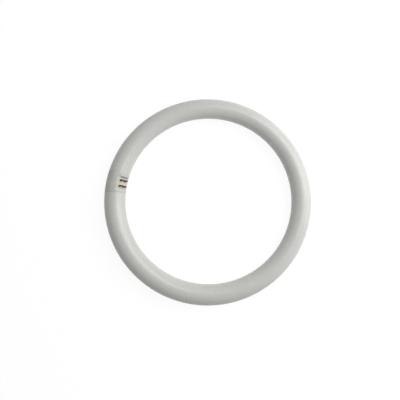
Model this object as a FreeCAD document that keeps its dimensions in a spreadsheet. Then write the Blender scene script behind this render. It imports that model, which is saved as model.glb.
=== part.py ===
import FreeCAD, Part

import math
import os

import Sketcher
from FreeCAD import Placement, Rotation, Vector

# A circular fluorescent tube, in millimetres.
# The ring lies flat, with its centre at the origin and its axis along +Z.
# The two ends of the glass meet at -Y, inside a two-piece moulded cap that carries four pins.
# A length "along" the tube is measured on its centre line, from the middle of the cap.

SIZES = {
    # The glass ring
    "ring_diameter": 299.0,
    "tube_diameter": 29.0,
    # The cap's recess, which leans this many degrees from +Z in towards the ring's centre
    "recess_length": 19.6,
    "recess_depth": 3.5,
    "pin_tilt": 50.0,
    "recess_end_wall": 1.0,
    # The cap's walls
    "cap_wall": 1.5,
    "floor_wall": 1.6,
    "collar_round": 0.25,
    # The lips at the mouths of the cap, and the beaded glass ends that they hold
    "lip_length": 1.0,
    "lip_height": 0.85,
    "glass_clearance": 0.15,
    "bead_length": 1.5,
    "bead_play": 0.4,
    "bead_end_gap": 0.3,
    "bead_round": 0.4,
    "shoulder_gap": 0.15,
    "shoulder_round": 0.4,
    # The hollow stem that closes each end of the glass
    "stem_mouth_diameter": 16.0,
    "stem_floor_diameter": 11.0,
    "stem_depth": 9.0,
    "exhaust_diameter": 3.2,
    "exhaust_length": 7.5,
    # The four contact pins
    "pin_diameter": 2.35,
    "pin_length": 7.0,
    "pin_spacing_along": 7.92,
    "pin_spacing_across": 6.35,
    "pin_wall": 0.475,
    "pin_tip_wall": 0.7,
    "pin_tip_flat": 0.55,
    "barrel_step": 0.325,
    "flange_step": 0.7,
    "flange_thickness": 0.6,
    "pin_tail_length": 1.5,
    # The lead wires from the glass to the pins
    "wire_diameter": 0.6,
    "wire_spacing": 7.0,
    "wire_end_gap": 0.1,
    # The posts and pegs that join the two halves of the cap
    "post_diameter": 4.2,
    "post_inset": 2.2,
    "post_bite": 0.3,
    "peg_diameter": 2.0,
    "peg_length": 3.0,
    "peg_clearance": 0.05,
    "socket_spare_depth": 0.5,
    # How far a cut runs past the surface that it leaves
    "cut_margin": 1.0,
}

# Sizes that follow from those in the sheet, as expressions.
TUBE_RADIUS = "(Sizes.tube_diameter / 2)"
RING_RADIUS = f"(Sizes.ring_diameter / 2 - {TUBE_RADIUS})"
FLAT_HEIGHT = f"({TUBE_RADIUS} - Sizes.recess_depth)"
FLOOR_HEIGHT = f"({FLAT_HEIGHT} - Sizes.floor_wall)"
HOLLOW_RADIUS = f"({TUBE_RADIUS} - Sizes.cap_wall)"
LIP_RADIUS = f"({HOLLOW_RADIUS} - Sizes.lip_height)"
NECK_RADIUS = f"({LIP_RADIUS} - Sizes.glass_clearance)"
BEAD_RADIUS = f"({HOLLOW_RADIUS} - Sizes.glass_clearance)"
STEM_MOUTH_RADIUS = "(Sizes.stem_mouth_diameter / 2)"
EXHAUST_RADIUS = "(Sizes.exhaust_diameter / 2)"
PIN_RADIUS = "(Sizes.pin_diameter / 2)"
BARREL_RADIUS = f"({PIN_RADIUS} + Sizes.barrel_step)"
FLANGE_RADIUS = f"({BARREL_RADIUS} + Sizes.flange_step)"

# Distances along the tube from the middle of the cap to each feature, on either side.
RECESS_HALF = "(Sizes.recess_length / 2)"
WELL_HALF = f"({RECESS_HALF} + Sizes.recess_end_wall)"
BEAD_END_HALF = f"({WELL_HALF} + Sizes.bead_end_gap)"
BEAD_FRONT_HALF = f"({BEAD_END_HALF} + Sizes.bead_length)"
LIP_INNER_HALF = f"({BEAD_FRONT_HALF} + Sizes.bead_play)"
CAP_HALF = f"({LIP_INNER_HALF} + Sizes.lip_length)"
SHOULDER_HALF = f"({CAP_HALF} + Sizes.shoulder_gap)"

POST_ALONG = f"({WELL_HALF} - Sizes.post_inset - Sizes.post_diameter / 2)"
POST_ACROSS = f"({HOLLOW_RADIUS} + Sizes.post_bite - Sizes.post_diameter / 2)"
PIN_ALONG = "(Sizes.pin_spacing_along / 2)"
PIN_ACROSS = "(Sizes.pin_spacing_across / 2)"
BLOCK_SIZE = f"({TUBE_RADIUS} + Sizes.cut_margin)"

X_AXIS = "create(<<vector>>; 1; 0; 0)"
Y_AXIS = "create(<<vector>>; 0; 1; 0)"
Z_AXIS = "create(<<vector>>; 0; 0; 1)"

SIDES = (1, -1)
CORNERS = [(side, row) for side in SIDES for row in SIDES]
SAME_PLACE = 1e-3

doc = FreeCAD.newDocument("CircularTube")
sheet = doc.addObject("Spreadsheet::Sheet", "Sizes")


def fill_sheet():
    """Writes each size into the sheet as a plain number with an alias."""
    for row, (alias, size) in enumerate(SIZES.items(), start=1):
        sheet.set(f"A{row}", alias)
        sheet.set(f"B{row}", str(size))
        sheet.setAlias(f"B{row}", alias)
    doc.recompute()


def value(expression):
    """The number that an expression of the sheet's sizes comes to."""
    return float(sheet.evalExpression(expression))


def angle_along(length):
    """The ring's angle, in degrees, over a length of the tube's centre line."""
    return f"({length}) / {RING_RADIUS} * 180 / pi"


def vector(x, y, z):
    return f"create(<<vector>>; {x}; {y}; {z})"


def turn(axis, angle):
    return f"create(<<rotation>>; {axis}; {angle})"


def place(position, rotation):
    return f"create(<<placement>>; {position}; {rotation})"


def about_ring(angle):
    """A turn about the ring's own axis, from +X."""
    return place(vector(0, 0, 0), turn(Z_AXIS, angle))


def in_cap(x, y, z):
    """A place in the cap: x along the tube, z out through the recess like the pins."""
    cap_frame = place(vector(0, f"-{RING_RADIUS}", 0), turn(X_AXIS, "-Sizes.pin_tilt"))
    return f"{cap_frame} * {place(vector(x, y, z), turn(Z_AXIS, 0))}"


def at_glass_end(side, depth):
    """A place on the centre line of a glass end, this deep, with z pointing into the glass."""
    swing = about_ring(f"{side} * {angle_along(BEAD_END_HALF)}")
    end_frame = place(vector(0, f"-{RING_RADIUS}", 0), turn(Y_AXIS, side * 90))
    return f"{swing} * {end_frame} * {place(vector(0, 0, depth), turn(Z_AXIS, 0))}"


def solid(kind, name, placement, **sizes):
    """Adds a primitive whose sizes and placement follow the sheet."""
    item = doc.addObject(kind, name)
    for size, expression in sizes.items():
        item.setExpression(size, expression)
    item.setExpression("Placement", placement)
    return item


def fuse(name, *shapes):
    item = doc.addObject("Part::MultiFuse", name)
    item.Shapes = list(shapes)
    return item


def common(name, *shapes):
    item = doc.addObject("Part::MultiCommon", name)
    item.Shapes = list(shapes)
    return item


def cut(name, base, tool):
    item = doc.addObject("Part::Cut", name)
    item.Base = base
    item.Tool = tool
    return item


def bar_round_ring(name, radius, start, sweep):
    """A round bar that follows the tube, from a start angle through a sweep."""
    return solid("Part::Torus", name, about_ring(start),
                 Radius1=RING_RADIUS, Radius2=radius, Angle3=sweep)


def bar_across_cap(name, radius, half_length):
    """A round bar that follows the tube for this far on each side of the cap's middle."""
    half_angle = angle_along(half_length)
    return bar_round_ring(name, radius, f"-90 - {half_angle}", f"2 * {half_angle}")


def bar_outside_cap(name, radius, half_length):
    """A round bar that follows the rest of the ring, from this far on each side of the cap."""
    half_angle = angle_along(half_length)
    return bar_round_ring(name, radius, f"-90 + {half_angle}", f"360 - 2 * {half_angle}")


def slice_of_ring(name, half_length):
    """A wedge about the ring's axis that takes in the tube for this far on each side."""
    half_angle = angle_along(half_length)
    start = place(vector(0, 0, f"-{BLOCK_SIZE}"), turn(Z_AXIS, f"-90 - {half_angle}"))
    return solid("Part::Cylinder", name, start,
                 Radius=f"{RING_RADIUS} + {BLOCK_SIZE}",
                 Height=f"2 * {BLOCK_SIZE}",
                 Angle=f"2 * {half_angle}")


def block_in_cap(name, bottom, height):
    """A block across the whole cap, from a height in the cap's frame upwards."""
    return solid("Part::Box", name, in_cap(f"-{BLOCK_SIZE}", f"-{BLOCK_SIZE}", bottom),
                 Length=f"2 * {BLOCK_SIZE}", Width=f"2 * {BLOCK_SIZE}", Height=height)


def rods_in_cap(name, along, across, bottom, top, diameter):
    """Four round rods in a rectangle, running the way the pins do."""
    rods = [solid("Part::Cylinder", f"{name}_rod", in_cap(f"{side} * {along}", f"{row} * {across}", bottom),
                  Radius=f"({diameter}) / 2", Height=f"({top}) - ({bottom})")
            for side, row in CORNERS]
    return fuse(name, *rods)


def inner_points(edge):
    """Points spread over an edge, without its ends."""
    first, last = edge.ParameterRange
    return [edge.valueAt(first + (last - first) * share) for share in (0.2, 0.5, 0.8)]


def along_tube(point):
    """How far along the centre line a point lies from the middle of the cap."""
    return abs(math.atan2(point.x, -point.y)) * value(RING_RADIUS)


def from_centre_line(point):
    return math.hypot(math.hypot(point.x, point.y) - value(RING_RADIUS), point.z)


def goes_round_tube(edge, half_length, radius):
    """True for an edge round the tube, this far from the cap's middle and from the centre line."""
    return all(
        abs(along_tube(point) - half_length) < SAME_PLACE
        and abs(from_centre_line(point) - radius) < SAME_PLACE
        for point in inner_points(edge)
    )


def rounded(name, base, rims):
    """Rounds rims that go round the tube, each given by its place, its radius and its rounding."""
    doc.recompute()
    edges = []
    for half_length, radius, rounding in rims:
        place_value = value(half_length)
        radius_value = value(radius)
        rounding_value = value(rounding)
        edges += [(number, rounding_value, rounding_value)
                  for number, edge in enumerate(base.Shape.Edges, start=1)
                  if goes_round_tube(edge, place_value, radius_value)]
    item = doc.addObject("Part::Fillet", name)
    item.Base = base
    item.Edges = edges
    return item


def glass_tube():
    """The sealed ring of glass, with a neck, a beaded rim and a hollow stem at each end."""
    bead_end = angle_along(BEAD_END_HALF)
    bead_front = angle_along(BEAD_FRONT_HALF)
    bead_sweep = f"{bead_front} - {bead_end}"
    closed_ends = fuse("closed_ends",
                       bar_outside_cap("ring", TUBE_RADIUS, SHOULDER_HALF),
                       bar_outside_cap("neck", NECK_RADIUS, BEAD_END_HALF),
                       bar_round_ring("right_bead", BEAD_RADIUS, f"-90 + {bead_end}", bead_sweep),
                       bar_round_ring("left_bead", BEAD_RADIUS, f"-90 - {bead_front}", bead_sweep))
    stems = [solid("Part::Cone", "stem", at_glass_end(side, 0),
                   Radius1=STEM_MOUTH_RADIUS,
                   Radius2="Sizes.stem_floor_diameter / 2",
                   Height="Sizes.stem_depth")
             for side in SIDES]
    bead_round = "min(Sizes.bead_round; 0.4 * Sizes.bead_length)"
    smooth_ends = rounded("smooth_ends", cut("open_stems", closed_ends, fuse("stems", *stems)), [
        (SHOULDER_HALF, TUBE_RADIUS, "Sizes.shoulder_round"),
        (BEAD_FRONT_HALF, BEAD_RADIUS, bead_round),
        (BEAD_END_HALF, BEAD_RADIUS, bead_round),
        (BEAD_END_HALF, STEM_MOUTH_RADIUS, bead_round),
    ])
    return fuse("glass_tube", smooth_ends, *[exhaust_tip(side) for side in SIDES])


def exhaust_tip(side):
    """The sealed-off exhaust tube that stands in the middle of a stem, with a round end."""
    straight = f"(Sizes.exhaust_length - {EXHAUST_RADIUS})"
    round_end = at_glass_end(side, f"Sizes.stem_depth - {straight}")
    return fuse("exhaust",
                solid("Part::Cylinder", "exhaust_stalk", round_end,
                      Radius=EXHAUST_RADIUS, Height=straight),
                solid("Part::Sphere", "exhaust_end", round_end, Radius=EXHAUST_RADIUS))


def recess_half_at(across):
    """Half the recess's length at a place across the flat: its ends are radial, like the cap's."""
    from_axis = (f"({RING_RADIUS} - ({across}) * cos(Sizes.pin_tilt)"
                 f" - {FLAT_HEIGHT} * sin(Sizes.pin_tilt))")
    return f"({from_axis} * tan({angle_along(RECESS_HALF)}))"


def recess():
    """The space over the flat, with end walls that stand along the pins so that a holder slides in."""
    outer_half = recess_half_at(f"-{BLOCK_SIZE}")
    inner_half = recess_half_at(BLOCK_SIZE)
    return solid("Part::Wedge", "recess", in_cap("0", "0", FLAT_HEIGHT),
                 Xmin=f"-{outer_half}", Xmax=outer_half,
                 X2min=f"-{inner_half}", X2max=inner_half,
                 Ymin=f"-{BLOCK_SIZE}", Ymax=BLOCK_SIZE,
                 Zmin="0", Zmax=BLOCK_SIZE, Z2min="0", Z2max=BLOCK_SIZE)


def cap_outside():
    """The outer form of both halves together: two collars with the recess between them."""
    blank = bar_across_cap("cap_blank", TUBE_RADIUS, CAP_HALF)
    smooth = rounded("smooth_cap", blank, [(CAP_HALF, TUBE_RADIUS, "Sizes.collar_round")])
    return cut("cap_outside", smooth, recess())


def cap_hollow():
    """The round space inside the cap, narrower at the lips."""
    return fuse("cap_hollow",
                bar_across_cap("wide_hollow", HOLLOW_RADIUS, LIP_INNER_HALF),
                bar_across_cap("lip_hollow", LIP_RADIUS, f"{CAP_HALF} + Sizes.cut_margin"))


def posts(name):
    """Four posts through the cap, from one outer wall to the other."""
    return rods_in_cap(name, POST_ALONG, POST_ACROSS, f"-{BLOCK_SIZE}", BLOCK_SIZE,
                       "Sizes.post_diameter")


def cap_pin_half(outside, hollow):
    """The half shell with the recess, the floor that the pins stand in and the peg sockets."""
    shell = common("pin_half_outside", outside, block_in_cap("pin_side", "0", BLOCK_SIZE))
    well = common("well",
                  block_in_cap("above_floor", FLOOR_HEIGHT, BLOCK_SIZE),
                  slice_of_ring("well_slice", WELL_HALF))
    space = cut("pin_half_space", hollow, fuse("pin_half_solids", well, posts("pin_half_posts")))
    pin_holes = rods_in_cap("pin_holes", PIN_ALONG, PIN_ACROSS,
                            f"{FLOOR_HEIGHT} - Sizes.cut_margin",
                            f"{FLAT_HEIGHT} + Sizes.cut_margin",
                            f"2 * {BARREL_RADIUS}")
    sockets = rods_in_cap("peg_sockets", POST_ALONG, POST_ACROSS, "-Sizes.cut_margin",
                          "Sizes.peg_length + Sizes.socket_spare_depth",
                          "Sizes.peg_diameter + 2 * Sizes.peg_clearance")
    return cut("cap_pin_half", shell, fuse("pin_half_cuts", space, pin_holes, sockets))


def cap_back_half(outside, hollow):
    """The plain half shell, with four pegs that fit the sockets."""
    shell = common("back_half_outside", outside,
                   block_in_cap("back_side", f"-{BLOCK_SIZE}", BLOCK_SIZE))
    space = cut("back_half_space", hollow, posts("back_half_posts"))
    pegs = rods_in_cap("pegs", POST_ALONG, POST_ACROSS, "-Sizes.cut_margin", "Sizes.peg_length",
                       "Sizes.peg_diameter")
    return fuse("cap_back_half", cut("back_half_shell", shell, space), pegs)


def profile_sketch(body, name, plane_role, corners):
    """A closed outline with straight sides, each corner held by its two distances."""
    sketch = body.newObject("Sketcher::SketchObject", name)
    plane = next(item for item in body.Origin.OriginFeatures if item.Role == plane_role)
    sketch.AttachmentSupport = [(plane, "")]
    sketch.MapMode = "FlatFace"
    points = [Vector(value(x), value(y), 0) for x, y in corners]
    for start, end in zip(points, points[1:] + points[:1]):
        sketch.addGeometry(Part.LineSegment(start, end))
    for number in range(len(corners)):
        following = (number + 1) % len(corners)
        sketch.addConstraint(Sketcher.Constraint("Coincident", number, 2, following, 1))
    for number, (x, y) in enumerate(corners):
        for kind, axis, expression in (("DistanceX", -2, x), ("DistanceY", -1, y)):
            if expression == "0":
                sketch.addConstraint(Sketcher.Constraint("PointOnObject", number, 1, axis))
            else:
                held = Sketcher.Constraint(kind, -1, 1, number, 1, value(expression))
                index = sketch.addConstraint(held)
                sketch.setExpression(f"Constraints[{index}]", expression)
    return sketch


def is_tip_rim(edge):
    """True for the circle round the far end of a pin, before it is rounded."""
    return all(
        abs(point.z - value("Sizes.pin_length")) < SAME_PLACE
        and abs(math.hypot(point.x, point.y) - value(PIN_RADIUS)) < SAME_PLACE
        for point in inner_points(edge)
    )


def contact_pin(name, side, row):
    """A hollow brass pin: tail, flange behind the floor, barrel in its hole and round-ended shank."""
    body = doc.addObject("PartDesign::Body", name)
    bore = f"{PIN_RADIUS} - Sizes.pin_wall"
    flange_front = "-Sizes.floor_wall"
    flange_back = f"{flange_front} - Sizes.flange_thickness"
    tail_end = f"{flange_back} - Sizes.pin_tail_length"
    bore_end = "Sizes.pin_length - Sizes.pin_tip_wall"
    section = profile_sketch(body, "pin_section", "XZ_Plane", [
        (bore, tail_end),
        (PIN_RADIUS, tail_end),
        (PIN_RADIUS, flange_back),
        (FLANGE_RADIUS, flange_back),
        (FLANGE_RADIUS, flange_front),
        (BARREL_RADIUS, flange_front),
        (BARREL_RADIUS, "0"),
        (PIN_RADIUS, "0"),
        (PIN_RADIUS, "Sizes.pin_length"),
        ("0", "Sizes.pin_length"),
        ("0", bore_end),
        (bore, bore_end),
    ])
    turned = body.newObject("PartDesign::Revolution", "turned_pin")
    turned.Profile = section
    turned.ReferenceAxis = (section, ["V_Axis"])
    turned.Angle = 360
    doc.recompute()
    tip_rims = [f"Edge{number}" for number, edge in enumerate(turned.Shape.Edges, start=1)
                if is_tip_rim(edge)]
    tip_round = body.newObject("PartDesign::Fillet", "tip_round")
    tip_round.Base = (turned, tip_rims)
    tip_round.setExpression("Radius", f"{PIN_RADIUS} - Sizes.pin_tip_flat / 2")
    body.setExpression("Placement",
                       in_cap(f"{side} * {PIN_ALONG}", f"{row} * {PIN_ACROSS}", FLAT_HEIGHT))
    return body


def bent_path(points):
    """Straight runs joined by arcs, each arc as large as its shorter run allows."""
    share_of_run = 0.45
    edges = []
    last = points[0]
    for before, corner, after in zip(points, points[1:], points[2:]):
        towards = (before - corner).normalize()
        away = (after - corner).normalize()
        reach = share_of_run * min(before.distanceToPoint(corner), corner.distanceToPoint(after))
        half_inside = towards.getAngle(away) / 2
        start = corner + towards * reach
        end = corner + away * reach
        centre = corner + (towards + away).normalize() * (reach / math.cos(half_inside))
        middle = centre + (corner - centre).normalize() * (reach * math.tan(half_inside))
        edges.append(Part.LineSegment(last, start).toShape())
        edges.append(Part.Arc(start, middle, end).toShape())
        last = end
    edges.append(Part.LineSegment(last, points[-1]).toShape())
    return Part.Wire(edges)


def lead_wire(name, side, row):
    """A bare wire from the floor of a stem, out along the tube and up into its pin."""
    cap_frame = Placement(Vector(0, -value(RING_RADIUS), 0),
                          Rotation(Vector(1, 0, 0), -value("Sizes.pin_tilt")))
    swing = Placement(Vector(), Rotation(Vector(0, 0, 1), side * value(angle_along(BEAD_END_HALF))))
    end_frame = cap_frame.inverse() * swing * cap_frame
    offset = row * value("Sizes.wire_spacing / 2")
    pin_x = side * value(PIN_ALONG)
    pin_y = row * value(PIN_ACROSS)
    bore_end = f"{FLAT_HEIGHT} + Sizes.pin_length - Sizes.pin_tip_wall"
    route = [
        end_frame * Vector(side * value("Sizes.stem_depth"), offset, 0),
        end_frame * Vector(0, offset, 0),
        Vector(pin_x, pin_y, 0),
        Vector(pin_x, pin_y, value(f"{bore_end} - Sizes.wire_end_gap")),
    ]
    section = Part.Circle(route[0], route[1] - route[0], value("Sizes.wire_diameter / 2"))
    wire = doc.addObject("Part::Feature", name)
    wire.Shape = bent_path(route).makePipeShell([Part.Wire(section.toShape())], True, True)
    wire.Placement = cap_frame
    return wire


def check(parts):
    """Stops with a message if any object failed, or a piece isn't one sound solid."""
    for item in doc.Objects:
        if "Invalid" in item.State or "Error" in item.State:
            raise RuntimeError(f"{item.Label} did not build: {item.State}")
    for item in parts:
        shape = item.Shape
        if shape.isNull() or not shape.isValid() or len(shape.Solids) != 1:
            raise RuntimeError(f"{item.Label} isn't one sound solid")


def build():
    fill_sheet()
    outside = cap_outside()
    hollow = cap_hollow()
    parts = [
        glass_tube(),
        cap_pin_half(outside, hollow),
        cap_back_half(outside, hollow),
    ]
    for number, (side, row) in enumerate(CORNERS, start=1):
        parts.append(contact_pin(f"pin_{number}", side, row))
        parts.append(lead_wire(f"lead_wire_{number}", side, row))
    doc.recompute()
    check(parts)
    os.makedirs("parts", exist_ok=True)
    for item in parts:
        item.Shape.exportStep(f"parts/{item.Label}.step")
        print(f"{item.Label}: {item.Shape.Volume:.3f} cubic mm")


build()
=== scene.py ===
import math

import bpy
from mathutils import Matrix, Vector


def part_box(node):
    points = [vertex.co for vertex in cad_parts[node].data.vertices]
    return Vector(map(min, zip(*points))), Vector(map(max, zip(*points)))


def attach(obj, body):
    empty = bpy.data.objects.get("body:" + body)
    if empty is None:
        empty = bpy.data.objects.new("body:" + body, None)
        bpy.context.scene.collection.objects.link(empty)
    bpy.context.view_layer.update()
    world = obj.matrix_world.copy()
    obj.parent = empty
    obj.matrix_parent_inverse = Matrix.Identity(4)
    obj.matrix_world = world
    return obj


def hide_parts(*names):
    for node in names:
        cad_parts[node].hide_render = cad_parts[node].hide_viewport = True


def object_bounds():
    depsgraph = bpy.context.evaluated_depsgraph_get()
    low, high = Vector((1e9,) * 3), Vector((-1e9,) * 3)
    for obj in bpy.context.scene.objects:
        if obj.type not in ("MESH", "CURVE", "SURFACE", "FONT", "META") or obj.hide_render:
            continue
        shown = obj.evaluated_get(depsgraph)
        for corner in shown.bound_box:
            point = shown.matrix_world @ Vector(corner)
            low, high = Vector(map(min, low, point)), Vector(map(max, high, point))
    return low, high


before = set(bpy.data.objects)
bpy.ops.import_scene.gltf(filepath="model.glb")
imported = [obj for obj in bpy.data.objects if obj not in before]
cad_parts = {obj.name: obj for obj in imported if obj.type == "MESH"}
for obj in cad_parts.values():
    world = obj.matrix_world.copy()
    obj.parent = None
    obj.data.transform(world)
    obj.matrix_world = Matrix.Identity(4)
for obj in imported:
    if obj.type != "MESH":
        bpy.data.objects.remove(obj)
CAD_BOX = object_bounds()

# Metres. The ring lies flat round the origin, and its cap is at -Y.
LOWEST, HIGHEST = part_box("glass_tube")
TUBE_RADIUS = (HIGHEST.z - LOWEST.z) / 2
RING_RADIUS = HIGHEST.x - TUBE_RADIUS

# The cap's own frame: its origin is on the tube's centre line, in the middle of the cap, with x
# along the tube and z out through the flat, the way the pins point. Heights are from that origin.
PIN_NUMBERS = (1, 2, 3, 4)
PIN_TILT = math.radians(50)
FLAT_HEIGHT = 0.011
PIN_LENGTH = 0.007
PIN_ALONG = 0.00396
BARREL_RADIUS = 0.0015

# The moulded halves of the cap. Points as near as SAME_POINT are merged, and faces that are flat
# within FLAT_WITHIN are joined. The mould leaves its radius on every edge from SHARP_FROM up. Each
# end rim reaches towards the glass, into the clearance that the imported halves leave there.
# CAP_END and RIM_FROM are angles round the ring, from the middle of the cap.
SAME_POINT = 0.000002
FLAT_WITHIN = math.radians(0.3)
SHARP_FROM = math.radians(35)
MOULD_RADIUS = 0.00012
MOULD_STEPS = 2
CAP_LENGTH = 0.028
CAP_END = CAP_LENGTH / 2 / RING_RADIUS
RIM_DEPTH = 2 * MOULD_RADIUS
RIM_FROM = CAP_END - RIM_DEPTH / RING_RADIUS
END_REACH = 0.0001

NONE = 0.0
FULL = 1.0

# How much of a noise's range is used: a soft one keeps its middle tones.
SOFT = (0.30, 0.70)
CRISP = (0.35, 0.65)

# How many finer layers a noise has, and how strong each is beside the one before it.
SMOOTH = 1.0
MILD = 2.0
BUSY = 3.0
BUSIEST = 4.0
FADING = 0.5
HAZE_FADING = 0.6
PATCH_FADING = 0.65

# White powder behind clear glass. A size is that of one blot. RUNS_ALONG is how many faint runs
# lie along a radian of the ring, and RUNS_ACROSS how many lie across the tube's radius. RUN_SIZE
# and WAVE_SIZE are counted in runs.
COATING_THIN = (0.735, 0.745, 0.700)
COATING_THICK = (0.775, 0.782, 0.735)
COATING_GRAIN = (0.785, 0.785, 0.745)
CLOUD_SIZE = 0.045
CLOUD_SHARE = 0.6
RUNS_ALONG = 0.9
RUNS_ACROSS = 4
RUN_SIZE = 1.0
POWDER_SIZE = 0.0004
POWDER_SHARE = 0.5
POWDER_ROUGHNESS = 0.9
GLASS_GLOSS = 1.0
GLASS_BENDS_LIGHT = 1.5
GLASS_ROUGHNESS = (0.20, 0.30)
HAZE_SIZE = 0.017
WAVE_SIZE = 1.25
WAVE_DEPTH = 0.00005

# Pale plastic that lets a little light through, with a painted warm highlight on the flat between
# the pins, lighter than the clean plastic. The painted highlight is whole down to one depth under
# the flat, and gone at another.
PLASTIC_DULL = (0.700, 0.700, 0.640)
PLASTIC_CLEAN = (0.745, 0.745, 0.685)
PLASTIC_PAINTED_HIGHLIGHT = (0.955, 0.820, 0.680)
PLASTIC_GLOSS = 0.4
PLASTIC_ROUGHNESS = (0.38, 0.50)
PLASTIC_CLOUD_SIZE = 0.006
SATIN_SIZE = 0.0011
SINK_SIZE = 0.008
SINK_DEPTH = 0.00010
GRAIN_SIZE = 0.0003
GRAIN_DEPTH = 0.000025
GLOW_THROUGH = 0.25
GLOW_DEPTH = 0.0012
GLOW_COLOUR = (1.0, 0.8, 0.5)
PAINTED_HIGHLIGHT_SHARE = 0.95
PAINTED_HIGHLIGHT_FADES = (PIN_ALONG - BARREL_RADIUS, PIN_ALONG + BARREL_RADIUS)
PAINTED_HIGHLIGHT_NARROWS = 0.5
PAINTED_HIGHLIGHT_RAGGED = 0.0012
PAINTED_HIGHLIGHT_WHOLE_DOWN = 0.0004
PAINTED_HIGHLIGHT_GONE_DOWN = 0.0012
PAINTED_HIGHLIGHT_ENDS = (FLAT_HEIGHT - PAINTED_HIGHLIGHT_GONE_DOWN, FLAT_HEIGHT - PAINTED_HIGHLIGHT_WHOLE_DOWN)

# Brass on the pins, painted a deep brown as painted shade for their dark reflections, worn a little
# towards their tips, and plated wire behind them.
BRASS_BROWN = (0.058, 0.048, 0.028)
BRASS_BRIGHT = (0.340, 0.260, 0.140)
BRASS_ROUGHNESS = (0.48, 0.30)
BRASS_PATCH_SIZE = 0.0014
BRASS_WORN = (0.48, 0.78)
TIP_STARTS = 0.8
TIP_FROM = FLAT_HEIGHT + TIP_STARTS * PIN_LENGTH
TIP_END = FLAT_HEIGHT + PIN_LENGTH
TIP_WEAR = 0.12
RING_SIZE = 0.00011
RING_DEPTH = 0.000012
RING_EVENNESS = 0.05
WIRE_DULL = (0.40, 0.38, 0.34)
WIRE_BRIGHT = (0.62, 0.60, 0.56)
WIRE_ROUGHNESS = (0.42, 0.26)
WIRE_PATCH_SIZE = 0.0011
WIRE_GRAIN_SIZE = 0.00017
WIRE_GRAIN_DEPTH = 0.000008

# The photograph's right-hand side lies at this angle about +Z from the frame's +X. The camera's
# place and aim are the ones that lay the ring's outline over the photograph's.
PHOTO_TURN = math.radians(100)
AS_IN_PHOTO = Matrix.Rotation(PHOTO_TURN, 4, "Z")
LENS = 36.0
SENSOR = 36.0
CAMERA_PLACE = Vector((-0.0330, -0.0512, 0.5793))
CAMERA_TIP = math.radians(7.99)
CAMERA_PAN = math.radians(-6.73)
CAMERA_SHIFT = (-0.087, -0.054)
NEAREST_SEEN = 0.01

# The lamps' places are given as the photograph sees them.
LAMP_SIZE = 0.8
KEY_PLACE = (0.55, 0.32, 0.90)
KEY_POWER = 6.1
SIDE_PLACE = (1.0, 0.18, 0.41)
SIDE_POWER = 3.1
AMBIENT = 0.22

# The floor: how pale it is to the light, and how pale and how bright the camera sees it.
FLOOR_SIZE = 6.0
FLOOR_HEIGHT = CAD_BOX[0].z
FLOOR_COLOUR = (0.90, 0.90, 0.90)
FLOOR_SHOWN = (0.15, 0.15, 0.15)
FLOOR_GLOW = 0.92
WHITE = (1, 1, 1, 1)


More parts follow.
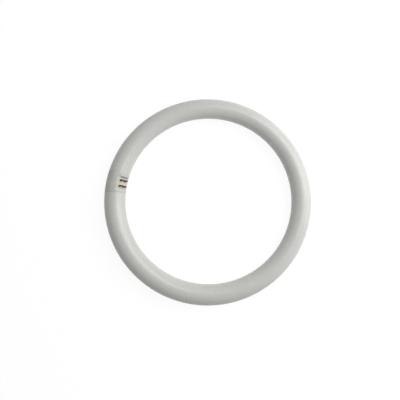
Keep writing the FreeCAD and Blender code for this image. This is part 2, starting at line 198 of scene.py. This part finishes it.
class Finish:
    """A surface in the making: its shader, and short ways to add nodes in front of it."""

    def __init__(self, name, **settings):
        self.material = bpy.data.materials.new(name)
        self.material.use_nodes = True
        self.tree = self.material.node_tree
        self.shader = self.tree.nodes["Principled BSDF"]
        for socket, setting in settings.items():
            self.shader.inputs[socket.replace("_", " ")].default_value = setting

    def node(self, kind, **settings):
        """Adds a node. A setting that names one of its sockets goes there, others to the node."""
        node = self.tree.nodes.new("ShaderNode" + kind)
        for key, setting in settings.items():
            if key in node.inputs:
                node.inputs[key].default_value = setting
            else:
                setattr(node, key, setting)
        return node

    def join(self, output, socket):
        """Links what one node puts out to another node's socket."""
        self.tree.links.new(output, socket)

    def feed(self, socket, output):
        """Gives the shader's own socket what a node puts out."""
        self.join(output, self.shader.inputs[socket])

    def place(self):
        """Where a point of the surface is, in metres, in the object's own frame."""
        return self.node("TexCoord").outputs["Object"]

    def place_in_cap(self):
        """Where a point of the surface is in the cap's frame."""
        moved = (0, RING_RADIUS * math.cos(PIN_TILT), RING_RADIUS * math.sin(PIN_TILT))
        turned = self.node("Mapping", Rotation=(PIN_TILT, 0, 0), Location=moved)
        self.join(self.place(), turned.inputs["Vector"])
        return turned.outputs["Vector"]

    def split(self, vector):
        """The three coordinates of a place."""
        parts = self.node("SeparateXYZ")
        self.join(vector, parts.inputs["Vector"])
        return parts.outputs[:]

    def combine(self, *parts):
        """A place made of three coordinates."""
        vector = self.node("CombineXYZ")
        for part, socket in zip(parts, vector.inputs):
            self.join(part, socket)
        return vector.outputs["Vector"]

    def worked_out(self, kind, *values):
        """One arithmetic step on numbers and outputs."""
        step = self.node("Math", operation=kind)
        for value, socket in zip(values, step.inputs):
            if isinstance(value, (int, float)):
                socket.default_value = value
            else:
                self.join(value, socket)
        return step.outputs["Value"]

    def times(self, value, factor):
        """A product of numbers and outputs."""
        return self.worked_out("MULTIPLY", value, factor)

    def distance(self, first, second):
        """How far away a point is that lies this far off in two directions."""
        squared = self.worked_out("ADD", self.times(first, first), self.times(second, second))
        return self.worked_out("SQRT", squared)

    def noise(self, vector, size, detail=MILD, roughness=FADING):
        """A random cloud with blots of this size."""
        cloud = self.node("TexNoise", Scale=1 / size, Detail=detail, Roughness=roughness)
        self.join(vector, cloud.inputs["Vector"])
        return cloud.outputs["Fac"]

    def spread(self, value, used, made=(NONE, FULL)):
        """Stretches one range to another, and holds what is outside at the ends."""
        span = self.node("MapRange", clamp=True)
        for socket, setting in zip(("From Min", "From Max", "To Min", "To Max"), (*used, *made)):
            span.inputs[socket].default_value = setting
        self.join(value, span.inputs["Value"])
        return span.outputs["Result"]

    def blend(self, share, first, second):
        """A colour between two, each a fixed colour or an output."""
        mix = self.node("Mix", data_type="RGBA")
        colours = [socket for socket in mix.inputs if socket.type == "RGBA"]
        self.join(share, mix.inputs["Factor"])
        for colour, socket in zip((first, second), colours):
            if isinstance(colour, tuple):
                socket.default_value = (*colour, 1)
            else:
                self.join(colour, socket)
        return next(output for output in mix.outputs if output.type == "RGBA")

    def relief(self, height, depth, under=None):
        """Raises the surface by up to this depth, on top of another relief if one is given."""
        bump = self.node("Bump", Strength=FULL, Distance=depth)
        self.join(height, bump.inputs["Height"])
        if under is not None:
            self.join(under, bump.inputs["Normal"])
        return bump.outputs["Normal"]


def coated_glass():
    """White powder seen through clear glass: soft clouds, faint runs and a smooth gloss."""
    finish = Finish("coated_glass", Roughness=POWDER_ROUGHNESS, Specular_IOR_Level=NONE,
                    Coat_Weight=GLASS_GLOSS, Coat_IOR=GLASS_BENDS_LIGHT)
    place = finish.place()
    x, y, z = finish.split(place)
    # The angle along the ring starts and ends inside the cap, so its jump is out of sight.
    along = finish.worked_out("ARCTAN2", x, y)
    outward = finish.worked_out("SUBTRACT", finish.distance(x, y), RING_RADIUS)
    on_tube = finish.combine(
        finish.times(along, RUNS_ALONG),
        finish.times(outward, RUNS_ACROSS / TUBE_RADIUS),
        finish.times(z, RUNS_ACROSS / TUBE_RADIUS))
    clouds = finish.noise(place, CLOUD_SIZE, detail=BUSY)
    runs = finish.noise(on_tube, RUN_SIZE)
    density = finish.worked_out(
        "ADD", finish.times(clouds, CLOUD_SHARE), finish.times(runs, 1 - CLOUD_SHARE))
    coating = finish.blend(finish.spread(density, CRISP), COATING_THIN, COATING_THICK)
    powder = finish.noise(place, POWDER_SIZE, detail=SMOOTH)
    grain = finish.spread(powder, SOFT, (NONE, POWDER_SHARE))
    finish.feed("Base Color", finish.blend(grain, coating, COATING_GRAIN))
    haze = finish.noise(place, HAZE_SIZE, detail=BUSIEST, roughness=HAZE_FADING)
    finish.feed("Coat Roughness", finish.spread(haze, CRISP, GLASS_ROUGHNESS))
    waves = finish.noise(on_tube, WAVE_SIZE, detail=SMOOTH)
    finish.feed("Coat Normal", finish.relief(waves, WAVE_DEPTH))
    return finish.material


def cap_plastic():
    """Pale moulded plastic with a fine satin grain, and a painted warm highlight on the flat
    between the pins.
    """
    finish = Finish("cap_plastic", Specular_IOR_Level=PLASTIC_GLOSS, Subsurface_Weight=GLOW_THROUGH,
                    Subsurface_Radius=GLOW_COLOUR, Subsurface_Scale=GLOW_DEPTH)
    place = finish.place_in_cap()
    x, y, z = finish.split(place)
    clouds = finish.noise(place, PLASTIC_CLOUD_SIZE, detail=BUSY)
    body = finish.blend(finish.spread(clouds, SOFT), PLASTIC_DULL, PLASTIC_CLEAN)
    # Painted highlight: a warm patch, lighter than the clean plastic, on the flat between the pins.
    from_middle = finish.distance(x, finish.times(y, PAINTED_HIGHLIGHT_NARROWS))
    ragged = finish.worked_out("ADD", from_middle, finish.times(clouds, PAINTED_HIGHLIGHT_RAGGED))
    between_pins = finish.spread(ragged, PAINTED_HIGHLIGHT_FADES, (PAINTED_HIGHLIGHT_SHARE, NONE))
    painted_highlight = finish.times(between_pins, finish.spread(z, PAINTED_HIGHLIGHT_ENDS))
    finish.feed("Base Color", finish.blend(painted_highlight, body, PLASTIC_PAINTED_HIGHLIGHT))
    satin = finish.noise(place, SATIN_SIZE)
    finish.feed("Roughness", finish.spread(satin, SOFT, PLASTIC_ROUGHNESS))
    sinks = finish.relief(finish.noise(place, SINK_SIZE, detail=SMOOTH), SINK_DEPTH)
    finish.feed("Normal", finish.relief(finish.noise(place, GRAIN_SIZE), GRAIN_DEPTH, sinks))
    return finish.material


def pin_brass():
    """Drawn brass painted deep brown as painted shade for its dark reflections, with fine rings
    round each pin and a little bright metal left.
    """
    finish = Finish("pin_brass", Metallic=FULL)
    place = finish.place_in_cap()
    x, y, z = finish.split(place)
    patches = finish.noise(place, BRASS_PATCH_SIZE, detail=BUSIEST, roughness=PATCH_FADING)
    tip = finish.spread(z, (TIP_FROM, TIP_END), (NONE, TIP_WEAR))
    worn = finish.spread(finish.worked_out("ADD", patches, tip), BRASS_WORN)
    # Painted shade: the deep brown stands in for the dark reflections on the pins.
    finish.feed("Base Color", finish.blend(worn, BRASS_BROWN, BRASS_BRIGHT))
    finish.feed("Roughness", finish.spread(patches, CRISP, BRASS_ROUGHNESS))
    round_pin = finish.combine(
        finish.times(x, RING_EVENNESS), finish.times(y, RING_EVENNESS), z)
    finish.feed("Normal", finish.relief(finish.noise(round_pin, RING_SIZE), RING_DEPTH))
    return finish.material


def lead_wire():
    """Bare plated wire, dulled in patches."""
    finish = Finish("lead_wire", Metallic=FULL)
    place = finish.place()
    patches = finish.noise(place, WIRE_PATCH_SIZE, detail=BUSY)
    finish.feed("Base Color", finish.blend(finish.spread(patches, CRISP), WIRE_DULL, WIRE_BRIGHT))
    finish.feed("Roughness", finish.spread(patches, SOFT, WIRE_ROUGHNESS))
    grain = finish.noise(place, WIRE_GRAIN_SIZE)
    finish.feed("Normal", finish.relief(grain, WIRE_GRAIN_DEPTH))
    return finish.material


def dress(material, *nodes):
    """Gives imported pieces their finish."""
    for node in nodes:
        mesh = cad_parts[node].data
        mesh.materials.clear()
        mesh.materials.append(material)


def lengthen(piece, side):
    """Moves one end rim of a half of the cap along the tube: 1 is the rim at +X, -1 that at -X."""
    bpy.ops.object.mode_set(mode="EDIT")
    bpy.ops.mesh.select_all(action="DESELECT")
    bpy.ops.object.mode_set(mode="OBJECT")
    for corner in piece.data.vertices:
        corner.select = math.atan2(side * corner.co.x, -corner.co.y) > RIM_FROM
    bpy.ops.object.mode_set(mode="EDIT")
    further = (side * END_REACH * math.cos(CAP_END), END_REACH * math.sin(CAP_END), 0)
    bpy.ops.transform.translate(value=further)
    bpy.ops.object.mode_set(mode="OBJECT")


def moulded(node, material):
    """A copy of a packed half of the cap, with the small radius that a mould leaves on edges."""
    bpy.ops.object.select_all(action="DESELECT")
    piece = bpy.data.objects.new(f"{node}_moulded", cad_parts[node].data.copy())
    bpy.context.scene.collection.objects.link(piece)
    bpy.context.view_layer.objects.active = piece
    piece.select_set(True)
    bpy.ops.object.mode_set(mode="EDIT")
    bpy.ops.mesh.select_all(action="SELECT")
    bpy.ops.mesh.remove_doubles(threshold=SAME_POINT)
    bpy.ops.mesh.dissolve_limited(angle_limit=FLAT_WITHIN)
    bpy.ops.object.mode_set(mode="OBJECT")
    bevel = piece.modifiers.new("mould_radius", "BEVEL")
    bevel.width = MOULD_RADIUS
    bevel.segments = MOULD_STEPS
    bevel.limit_method = "ANGLE"
    bevel.angle_limit = SHARP_FROM
    bpy.ops.object.modifier_apply(modifier=bevel.name)
    lengthen(piece, 1)
    lengthen(piece, -1)
    bpy.ops.object.shade_smooth_by_angle(angle=SHARP_FROM)
    piece.data.materials.clear()
    piece.data.materials.append(material)
    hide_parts(node)
    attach(piece, "root")


def in_photo(x, y, z):
    """A place given as the photograph sees it: x to the right, y up, z towards the camera."""
    return AS_IN_PHOTO @ Vector((x, y, z))


def aim_camera():
    """The photograph's own view, looking down on the ring."""
    data = bpy.data.cameras.new("photo_camera")
    data.lens = LENS
    data.sensor_width = SENSOR
    data.shift_x, data.shift_y = CAMERA_SHIFT
    data.clip_start = NEAREST_SEEN
    camera = bpy.data.objects.new("photo_camera", data)
    bpy.context.scene.collection.objects.link(camera)
    camera.matrix_world = (
        AS_IN_PHOTO
        @ Matrix.Translation(CAMERA_PLACE)
        @ Matrix.Rotation(CAMERA_TIP, 4, "X")
        @ Matrix.Rotation(CAMERA_PAN, 4, "Y")
    )
    bpy.context.scene.camera = camera


def soft_lamp(name, place, power):
    """A square lamp that points at the middle of the ring."""
    data = bpy.data.lights.new(name, "AREA")
    data.shape = "SQUARE"
    data.size = LAMP_SIZE
    data.energy = power
    lamp = bpy.data.objects.new(name, data)
    bpy.context.scene.collection.objects.link(lamp)
    spot = in_photo(*place)
    lamp.location = spot
    lamp.rotation_euler = (-spot).to_track_quat("-Z", "Y").to_euler()


def seen_directly(nodes, links):
    """One where the camera or a gloss looks straight at a surface, and nought for other light."""
    path = nodes.new("ShaderNodeLightPath")
    seen = nodes.new("ShaderNodeMath")
    seen.operation = "MAXIMUM"
    links.new(path.outputs["Is Camera Ray"], seen.inputs[0])
    links.new(path.outputs["Is Glossy Ray"], seen.inputs[1])
    return seen.outputs["Value"]


def white_world():
    """Even pale light from all round, and plain white where the camera or a gloss sees it."""
    world = bpy.data.worlds.new("white_world")
    world.use_nodes = True
    bpy.context.scene.world = world
    nodes = world.node_tree.nodes
    links = world.node_tree.links
    background = nodes["Background"]
    background.inputs["Color"].default_value = WHITE
    strength = nodes.new("ShaderNodeMapRange")
    strength.inputs["To Min"].default_value = AMBIENT
    strength.inputs["To Max"].default_value = FULL
    links.new(seen_directly(nodes, links), strength.inputs["Value"])
    links.new(strength.outputs["Result"], background.inputs["Strength"])


def lay_floor():
    """The pale surface that the ring lies on: white to the camera, with the ring's soft shadow."""
    bpy.ops.object.select_all(action="DESELECT")
    bpy.ops.mesh.primitive_plane_add(size=FLOOR_SIZE, location=(0, 0, FLOOR_HEIGHT))
    floor = bpy.context.object
    floor.name = "floor"
    finish = Finish("floor_white", Roughness=FULL, Specular_IOR_Level=NONE, Emission_Color=WHITE)
    seen = seen_directly(finish.tree.nodes, finish.tree.links)
    finish.feed("Base Color", finish.blend(seen, FLOOR_COLOUR, FLOOR_SHOWN))
    finish.feed("Emission Strength", finish.times(seen, FLOOR_GLOW))
    floor.data.materials.append(finish.material)


dress(coated_glass(), "glass_tube")
cap_finish = cap_plastic()
moulded("cap_pin_half", cap_finish)
moulded("cap_back_half", cap_finish)
dress(pin_brass(), *[f"pin_{number}" for number in PIN_NUMBERS])
dress(lead_wire(), *[f"lead_wire_{number}" for number in PIN_NUMBERS])

lay_floor()
white_world()
soft_lamp("key_lamp", KEY_PLACE, KEY_POWER)
soft_lamp("side_lamp", SIDE_PLACE, SIDE_POWER)
aim_camera()
bpy.context.scene.view_settings.view_transform = "Standard"
